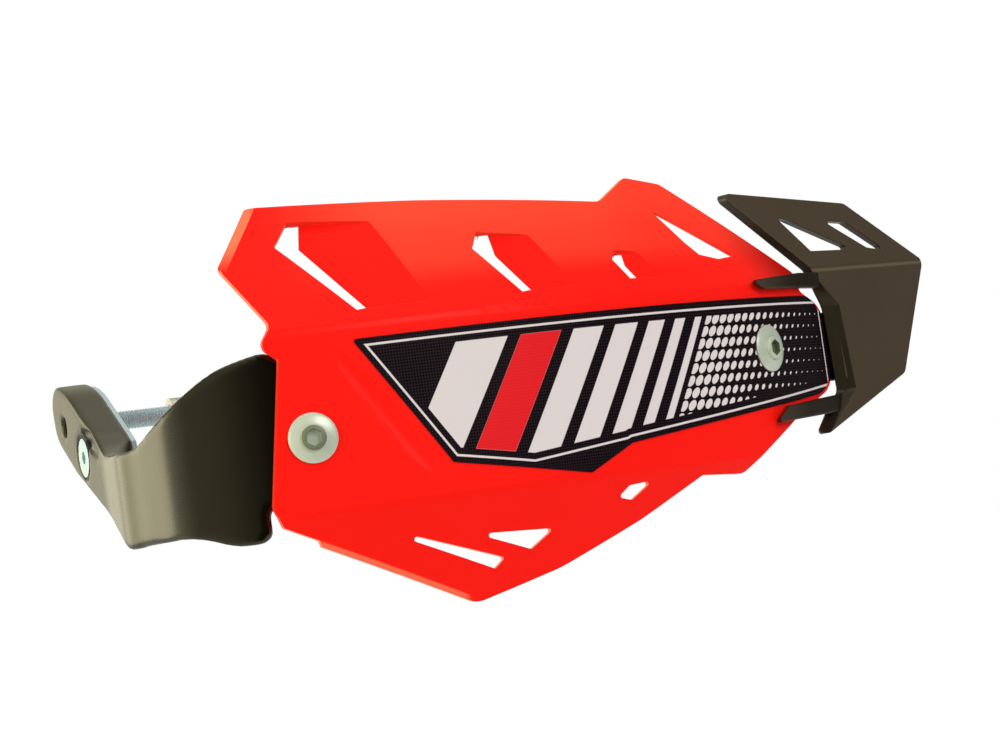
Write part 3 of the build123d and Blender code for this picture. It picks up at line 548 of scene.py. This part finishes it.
# %% [markdown]
# ## Turned fasteners
# CAD gives screws plain shanks, because a modelled thread costs many faces. A thread is easy as a surface
# with two parameters, the height and the angle: the radius falls and rises once in each pitch, and the
# angle shifts it, which makes the helix. A hexagon is a radius that depends on the angle alone. One
# function draws both, so that a screw is a single skin from the end of its shank to the bottom of its
# socket.

# %% Draw a lathe surface
thread_pitch, thread_depth, rows_per_pitch = 1.25, 0.65, 8
sharp_angle = math.radians(32)
weld_reach = 0.001 * mm


def hexagon(angle):
    """Radius of a hexagon over its inner radius: 1 / cos of the angle from the nearest flat's middle."""
    sixth = math.pi / 3
    return 1 / np.cos((angle + sixth / 2) % sixth - sixth / 2)


def weld(mesh):
    """Join the points of a mesh that lie in one place, and drop the faces that have no area."""
    joined = bmesh.new()
    joined.from_mesh(mesh)
    bmesh.ops.remove_doubles(joined, verts=joined.verts, dist=weld_reach)
    joined.to_mesh(mesh)
    joined.free()


def lathe(name, plane, rows, columns=96, dull=slice(0)):
    """Skin round a fastener's axis, with an attribute that marks a slice of its rows for a darker grey.

    A row is (height, radius, hexagonal, thread), in millimetres. Its points are
    P(i, a) = place + h_i axis + r_i(a) (cos a u + sin a v), with the radius
    r_i(a) = radius * (1 or hexagon(a)) - thread * wave(h_i / pitch - a / 2 pi),
    where the wave rises 0, 1, 0 in each turn.
    """
    place, across, axis = plane
    up = np.cross(axis, across)
    height, radius, hexagonal, thread = np.array(rows, float).T[:, :, None]
    angle = np.arange(columns) * (2 * math.pi / columns)
    turns = height / thread_pitch - angle / (2 * math.pi)
    wave = 1 - np.abs(2 * (turns % 1) - 1)
    reach = radius * np.where(hexagonal > 0, hexagon(angle), 1) - thread * wave
    points = (
        height[:, :, None] * axis
        + reach[:, :, None] * (np.cos(angle)[:, None] * across + np.sin(angle)[:, None] * up)
    )
    index = np.arange(reach.size).reshape(reach.shape)
    beside = np.roll(index, -1, axis=1)
    quads = np.stack((index[:-1], beside[:-1], beside[1:], index[1:]), axis=-1).reshape(-1, 4)
    mesh = bpy.data.meshes.new(name)
    mesh.from_pydata((place + points.reshape(-1, 3) * mm).tolist(), [], quads.tolist())
    darkening = np.zeros(reach.shape, np.float32)
    darkening[dull] = 1
    mesh.attributes.new("dull", "FLOAT", "POINT").data.foreach_set("value", darkening.ravel())
    weld(mesh)
    mesh.polygons.foreach_set("use_smooth", np.ones(len(mesh.polygons), bool))
    mesh.set_sharp_from_angle(angle=sharp_angle)
    piece = bpy.data.objects.new(name, mesh)
    scene.collection.objects.link(piece)
    return piece


def turned_rows(*pairs):
    """Round rows from pairs of height and radius."""
    return [(height, radius, 0, 0) for height, radius in pairs]


def hexagon_rows(*pairs):
    """Hexagonal rows from pairs of height and inner radius."""
    return [(height, radius, 1, 0) for height, radius in pairs]


def threaded_rows(start, end, radius):
    """Rows of a thread from one height to another, a few to each pitch."""
    heights = np.linspace(start, end, int(abs(end - start) / thread_pitch * rows_per_pitch) + 2)
    return [(height, radius, 0, thread_depth) for height in heights]


def stand_for(piece, node, material):
    """Let a piece take a CAD node's place under the root body, with the material given, and hide the node.
    """
    piece.data.materials.append(material)
    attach(piece, "root")
    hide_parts(node)


print("lathe ready, thread pitch", thread_pitch, "mm")

# %% [markdown]
# ## Shield screws and their nuts
# Each shield screw has a wide sloping flange, a button with a hex socket, and a shank that ends in a
# thread. It goes through the shield and what lies behind it, and a nut with a collar holds it there. So
# the nut's seat is found by taking the walls, pads and gaps behind the band's face off its radius. The
# outer screw's button is a darker grey, and of the inner screw only the socket is, as painted shade.

# %% Make the shield screws and nuts
outer_screw_azimuth, outer_screw_height = -7.8, -22.5
shield_wall, seat_gap, arm_wall, tab_wall, pad_wall, boss_height = 3.0, 0.2, 4.0, 3.0, 5.0, 2.0
washer_thickness, nut_height, tip_length = 1.6, 8.0, 2.0
shank_radius, tip_radius, tip_bevel = 4.0, 3.3, 0.7
thread_top, plain_shank = -3.5, -3.0
behind_shield = shield_radius - shield_wall - seat_gap
outer_seat = behind_shield - arm_wall - boss_height
inner_seat = behind_shield - tab_wall - seat_gap - pad_wall - boss_height
# The inner screw's socket rows are darkened as painted shade.
button_rows, shaded_socket_rows = slice(-7, -2), slice(-3, None)
screw_head = (
    turned_rows((0, shank_radius), (0, 9.7), (0.3, 10.0), (0.8, 10.0), (1.0, 9.8), (1.5, 8.3))
    + turned_rows((1.9, 6.9), (2.3, 5.6), (2.3, 5.0), (3.1, 5.0), (3.55, 4.75), (3.8, 4.2))
    + hexagon_rows((3.8, 3.15), (3.6, 3.0), (1.2, 3.0))
    + turned_rows((1.2, 0))
)
collar_nut = (
    turned_rows((0, 4.1), (0, 6.2))
    + hexagon_rows((0.35, 6.45), (0.6, 6.5), (6.0, 6.5), (6.3, 6.4))
    + turned_rows((6.5, 6.1), (6.5, 5.98), (7.7, 5.98), (nut_height, 5.6), (nut_height, 4.1), (0, 4.1))
)
stacks = {
    "outer": (outer_screw_azimuth, outer_screw_height, outer_seat, button_rows),
    "inner": (inner_screw_azimuth, inner_screw_height, inner_seat, shaded_socket_rows),
}
for side, (azimuth, height, seat, darkened_rows) in stacks.items():
    tip = -(shield_radius - seat + washer_thickness + nut_height + tip_length)
    shank = turned_rows((tip, 0), (tip, tip_radius))
    shank += threaded_rows(tip + tip_bevel, thread_top, shank_radius)
    shank += turned_rows((plain_shank, shank_radius))
    screw_plane = band_plane(azimuth, height, shield_radius)
    screw = lathe(f"{side}_shield_screw_skin", screw_plane, shank + screw_head, dull=darkened_rows)
    stand_for(screw, f"{side}_shield_screw", zinc)
    place, across, out = band_plane(azimuth, height, seat - washer_thickness)
    nut = lathe(f"{side}_shield_nut_skin", (place, across, -out), collar_nut)
    stand_for(nut, f"{side}_shield_nut", zinc)
    print(side, "screw", len(screw.data.polygons), "faces, nut", len(nut.data.polygons), "faces")

# %% [markdown]
# ## The expander's bolt
# The bolt lies along the bar and pulls the expander together in the bar's bore. It is threaded over the
# whole length that shows between the eye and the expander, and its head has a hex socket in the eye.

# %% Make the bolt
expander_start, expander_length, cone_length = 32.0, 34.0, 9.0
bolt_tip = expander_start + expander_length + cone_length + tip_length
bolt_columns, bolt_run_in, bolt_bevel = 64, 0.4, 1.0
along_bar = (np.zeros(3), np.array((0, 1.0, 0)), np.array((1.0, 0, 0)))
bolt_rows = (
    turned_rows((-6, 0))
    + hexagon_rows((-6, 3.0), (-9.8, 3.0), (-10, 3.15))
    + turned_rows((-10, 6.1), (-9.6, 6.5), (-2, 6.5), (-2, shank_radius), (0, shank_radius))
    + threaded_rows(bolt_run_in, bolt_tip - bolt_bevel, shank_radius)
    + turned_rows((bolt_tip, 3.0), (bolt_tip, 0))
)
bolt = lathe("expander_bolt_skin", along_bar, bolt_rows, bolt_columns)
stand_for(bolt, "expander_bolt", blue_zinc)
print("bolt", len(bolt.data.polygons), "faces")

# %% [markdown]
# ## Outer arm with round edges
# The arm is a thick moulding, and all its edges are round. Rounding them one by one is hard where the
# curved wall runs into the eye. A voxel remesh first turns a merged copy into an even grid, and smoothing
# that grid then rounds every edge to the same radius, whatever faces meet there. A second smoothing works
# only round the neck, where the thick eye flows into the thin wall.

# %% Round the outer arm
arm_voxel = 0.7 * mm
edge_passes, neck_passes = 26, 150
neck_centre, neck_radius = np.array((0, -66, -16)) * mm, 15 * mm


def gridded(node, voxel):
    """Merged copy of a CAD node on an even grid of voxels."""
    mesh = nodes[node].data.copy()
    weld(mesh)
    piece = bpy.data.objects.new(f"{node}_soft", mesh)
    scene.collection.objects.link(piece)
    grid = piece.modifiers.new("even_grid", "REMESH")
    grid.mode = "VOXEL"
    grid.voxel_size = voxel
    grid.use_smooth_shade = True
    shaped = piece.evaluated_get(bpy.context.evaluated_depsgraph_get())
    piece.data = bpy.data.meshes.new_from_object(shaped)
    piece.modifiers.clear()
    piece.data.materials.clear()
    return piece


def relax(mesh, passes, centre=None, radius=1.0):
    """Smooth a mesh: in each pass p = p + w (mean of p's neighbours - p) / 2.

    w is 1, or with a centre c it is 1 - (|p - c| / radius)^2 and never below 0. The spread of the passes
    adds up to half the grid's step times their square root, which sets the radius of an edge.
    """
    points = np.empty(3 * len(mesh.vertices))
    mesh.vertices.foreach_get("co", points)
    points = points.reshape(-1, 3)
    ends = np.empty(2 * len(mesh.edges), int)
    mesh.edges.foreach_get("vertices", ends)
    near = np.concatenate((ends[0::2], ends[1::2]))
    far = np.concatenate((ends[1::2], ends[0::2]))
    count = np.bincount(near)[:, None]
    weight = np.ones((len(points), 1))
    if centre is not None:
        weight[:, 0] = np.clip(1 - (np.linalg.norm(points - centre, axis=1) / radius) ** 2, 0, 1)
    for _ in range(passes):
        total = np.stack([np.bincount(near, points[far, axis]) for axis in range(3)], axis=1)
        points += weight * (total / count - points) / 2
    mesh.vertices.foreach_set("co", points.ravel())
    mesh.update()


soft_arm = gridded("outer_arm", arm_voxel)
relax(soft_arm.data, edge_passes)
relax(soft_arm.data, neck_passes, neck_centre, neck_radius)
stand_for(soft_arm, "outer_arm", arm_plastic)
print("outer arm:", len(soft_arm.data.polygons), "faces")

# %% [markdown]
# ## Light tent
# Glossy plastic shows what stands round it, so such things are often photographed in a tent of white
# cloth. The world is that tent. A picture of a studio could light it too, but two tones and a soft edge
# are enough. The camera sees the tent plain white, and as a source of light it is about half as strong.
# In reflections it is warm and a little dimmer, with a dark side to the front right: the dark plastics
# mirror that side and stay dark.

# %% Build the tent
ambient, bright_room, dark_room = 0.52, 0.7, 0.02
white, warm_white = (1, 1, 1, 1), (1, 0.96, 0.72, 1)
dark_side, dark_edge = (0.82, -0.57, 0.0), (0.52, 0.28)

world = bpy.data.worlds.new("studio")
scene.world = world
world.use_nodes = True
background = world.node_tree.nodes["Background"]
light_path = world.node_tree.nodes.new("ShaderNodeLightPath")
camera_ray, glossy_ray, clear_ray = [
    Signal(light_path.outputs[f"Is {kind} Ray"]) for kind in ("Camera", "Glossy", "Transmission")
]
tent_place = world.node_tree.nodes.new("ShaderNodeTexCoord")
facing = Signal(tent_place.outputs["Generated"]).vector("DOT_PRODUCT", dark_side)
mirrored = dark_room + (bright_room - dark_room) * facing.step(*dark_edge)
strength = ambient + (1 - ambient) * (camera_ray + clear_ray) + (mirrored - ambient) * glossy_ray
world.node_tree.links.new(strength.socket, background.inputs["Strength"])
tent_colour = glossy_ray.mix(white, warm_white)
world.node_tree.links.new(tent_colour.socket, background.inputs["Color"])
print("tent: ambient", ambient, "mirrored", bright_room, "and", dark_room)

# %% [markdown]
# ## Floor
# The guard hangs above a pale floor, which starts a little in front of it so that the camera looks past
# its edge. Near the guard the floor keeps a faint soft shadow. Far away it glows for the camera alone, so
# that it goes over into the white tent without a horizon.

# %% Lay the floor
floor_level, floor_front, floor_reach = -0.26, -0.4, 40.0
floor_base, floor_near, floor_gleam = (0.8, 0.8, 0.8, 1), (0.9, 0.9, 0.9, 1), 0.8
away_range = (0.3, 2.5)

floor_corners = [(-floor_reach, floor_front), (floor_reach, floor_front)]
floor_corners += [(floor_reach, floor_reach), (-floor_reach, floor_reach)]
floor_mesh = bpy.data.meshes.new("floor")
floor_mesh.from_pydata([(x, y, floor_level) for x, y in floor_corners], [], [(0, 1, 2, 3)])
floor = bpy.data.objects.new("floor", floor_mesh)
scene.collection.objects.link(floor)

floor_white = bpy.data.materials.new("floor_white")
floor_white.use_nodes = True
floor_tree = floor_white.node_tree
floor_shader = floor_tree.nodes["Principled BSDF"]
floor_shader.inputs["Roughness"].default_value = 1.0
floor_shader.inputs["Specular IOR Level"].default_value = 0.0
floor_shader.inputs["Emission Color"].default_value = white
floor_seen = Signal(floor_tree.nodes.new("ShaderNodeLightPath").outputs["Is Camera Ray"])
floor_place = Signal(floor_tree.nodes.new("ShaderNodeTexCoord").outputs["Object"])
floor_x, floor_y = floor_place.xyz()[:2]
floor_away = (floor_x * floor_x + floor_y * floor_y).step(*away_range)
floor_glow = floor_seen * floor_away * floor_gleam
floor_shade = (floor_seen * (1 - floor_away)).mix(floor_base, floor_near)
floor_tree.links.new(floor_glow.socket, floor_shader.inputs["Emission Strength"])
floor_tree.links.new(floor_shade.socket, floor_shader.inputs["Base Color"])
floor_mesh.materials.append(floor_white)
print("floor at", floor_level)

# %% [markdown]
# ## Lamps
# Four soft lamps shape the forms. One stands high in front, a large warm one lights the open end, a weaker
# one behind gives the eye's flat face its sheen, and one hangs overhead. An area lamp's power spreads over
# its area, so each lamp is given by how bright its face looks, and its power follows.

# %% Hang the lamps
neutral, warm = (1.0, 1.0, 1.0), (1.0, 0.92, 0.66)
lamps = {
    "front_lamp": ((0.75, -1.45, 0.75), 0.9, 0.7, 6.0, neutral),
    "end_lamp": ((-1.8, 0.35, 0.15), 4.2, 1.8, 2.7, warm),
    "back_lamp": ((-0.7, 1.8, 0.2), 1.6, 1.6, 0.55, warm),
    "top_lamp": ((0.2, -0.1, 1.4), 1.4, 1.4, 0.8, neutral),
}


def soft_lamp(name, target, place, width, height, glow, tint):
    """Area lamp that faces a target; its power is glow * pi * width * height."""
    lamp = bpy.data.objects.new(name, bpy.data.lights.new(name, "AREA"))
    lamp.data.shape = "RECTANGLE"
    lamp.data.size, lamp.data.size_y = width, height
    lamp.data.energy = glow * math.pi * width * height
    lamp.data.color = tint
    away = np.array(place) - target
    away /= np.linalg.norm(away)
    side = np.cross((0, 0, 1), away)
    side /= np.linalg.norm(side)
    lamp.matrix_world = aimed(side, np.cross(away, side), away, place)
    scene.collection.objects.link(lamp)


middle = np.mean(cad_box, axis=0)
for name, settings in lamps.items():
    soft_lamp(name, middle, *settings)
scene.view_settings.view_transform = "Standard"

# %% [markdown]
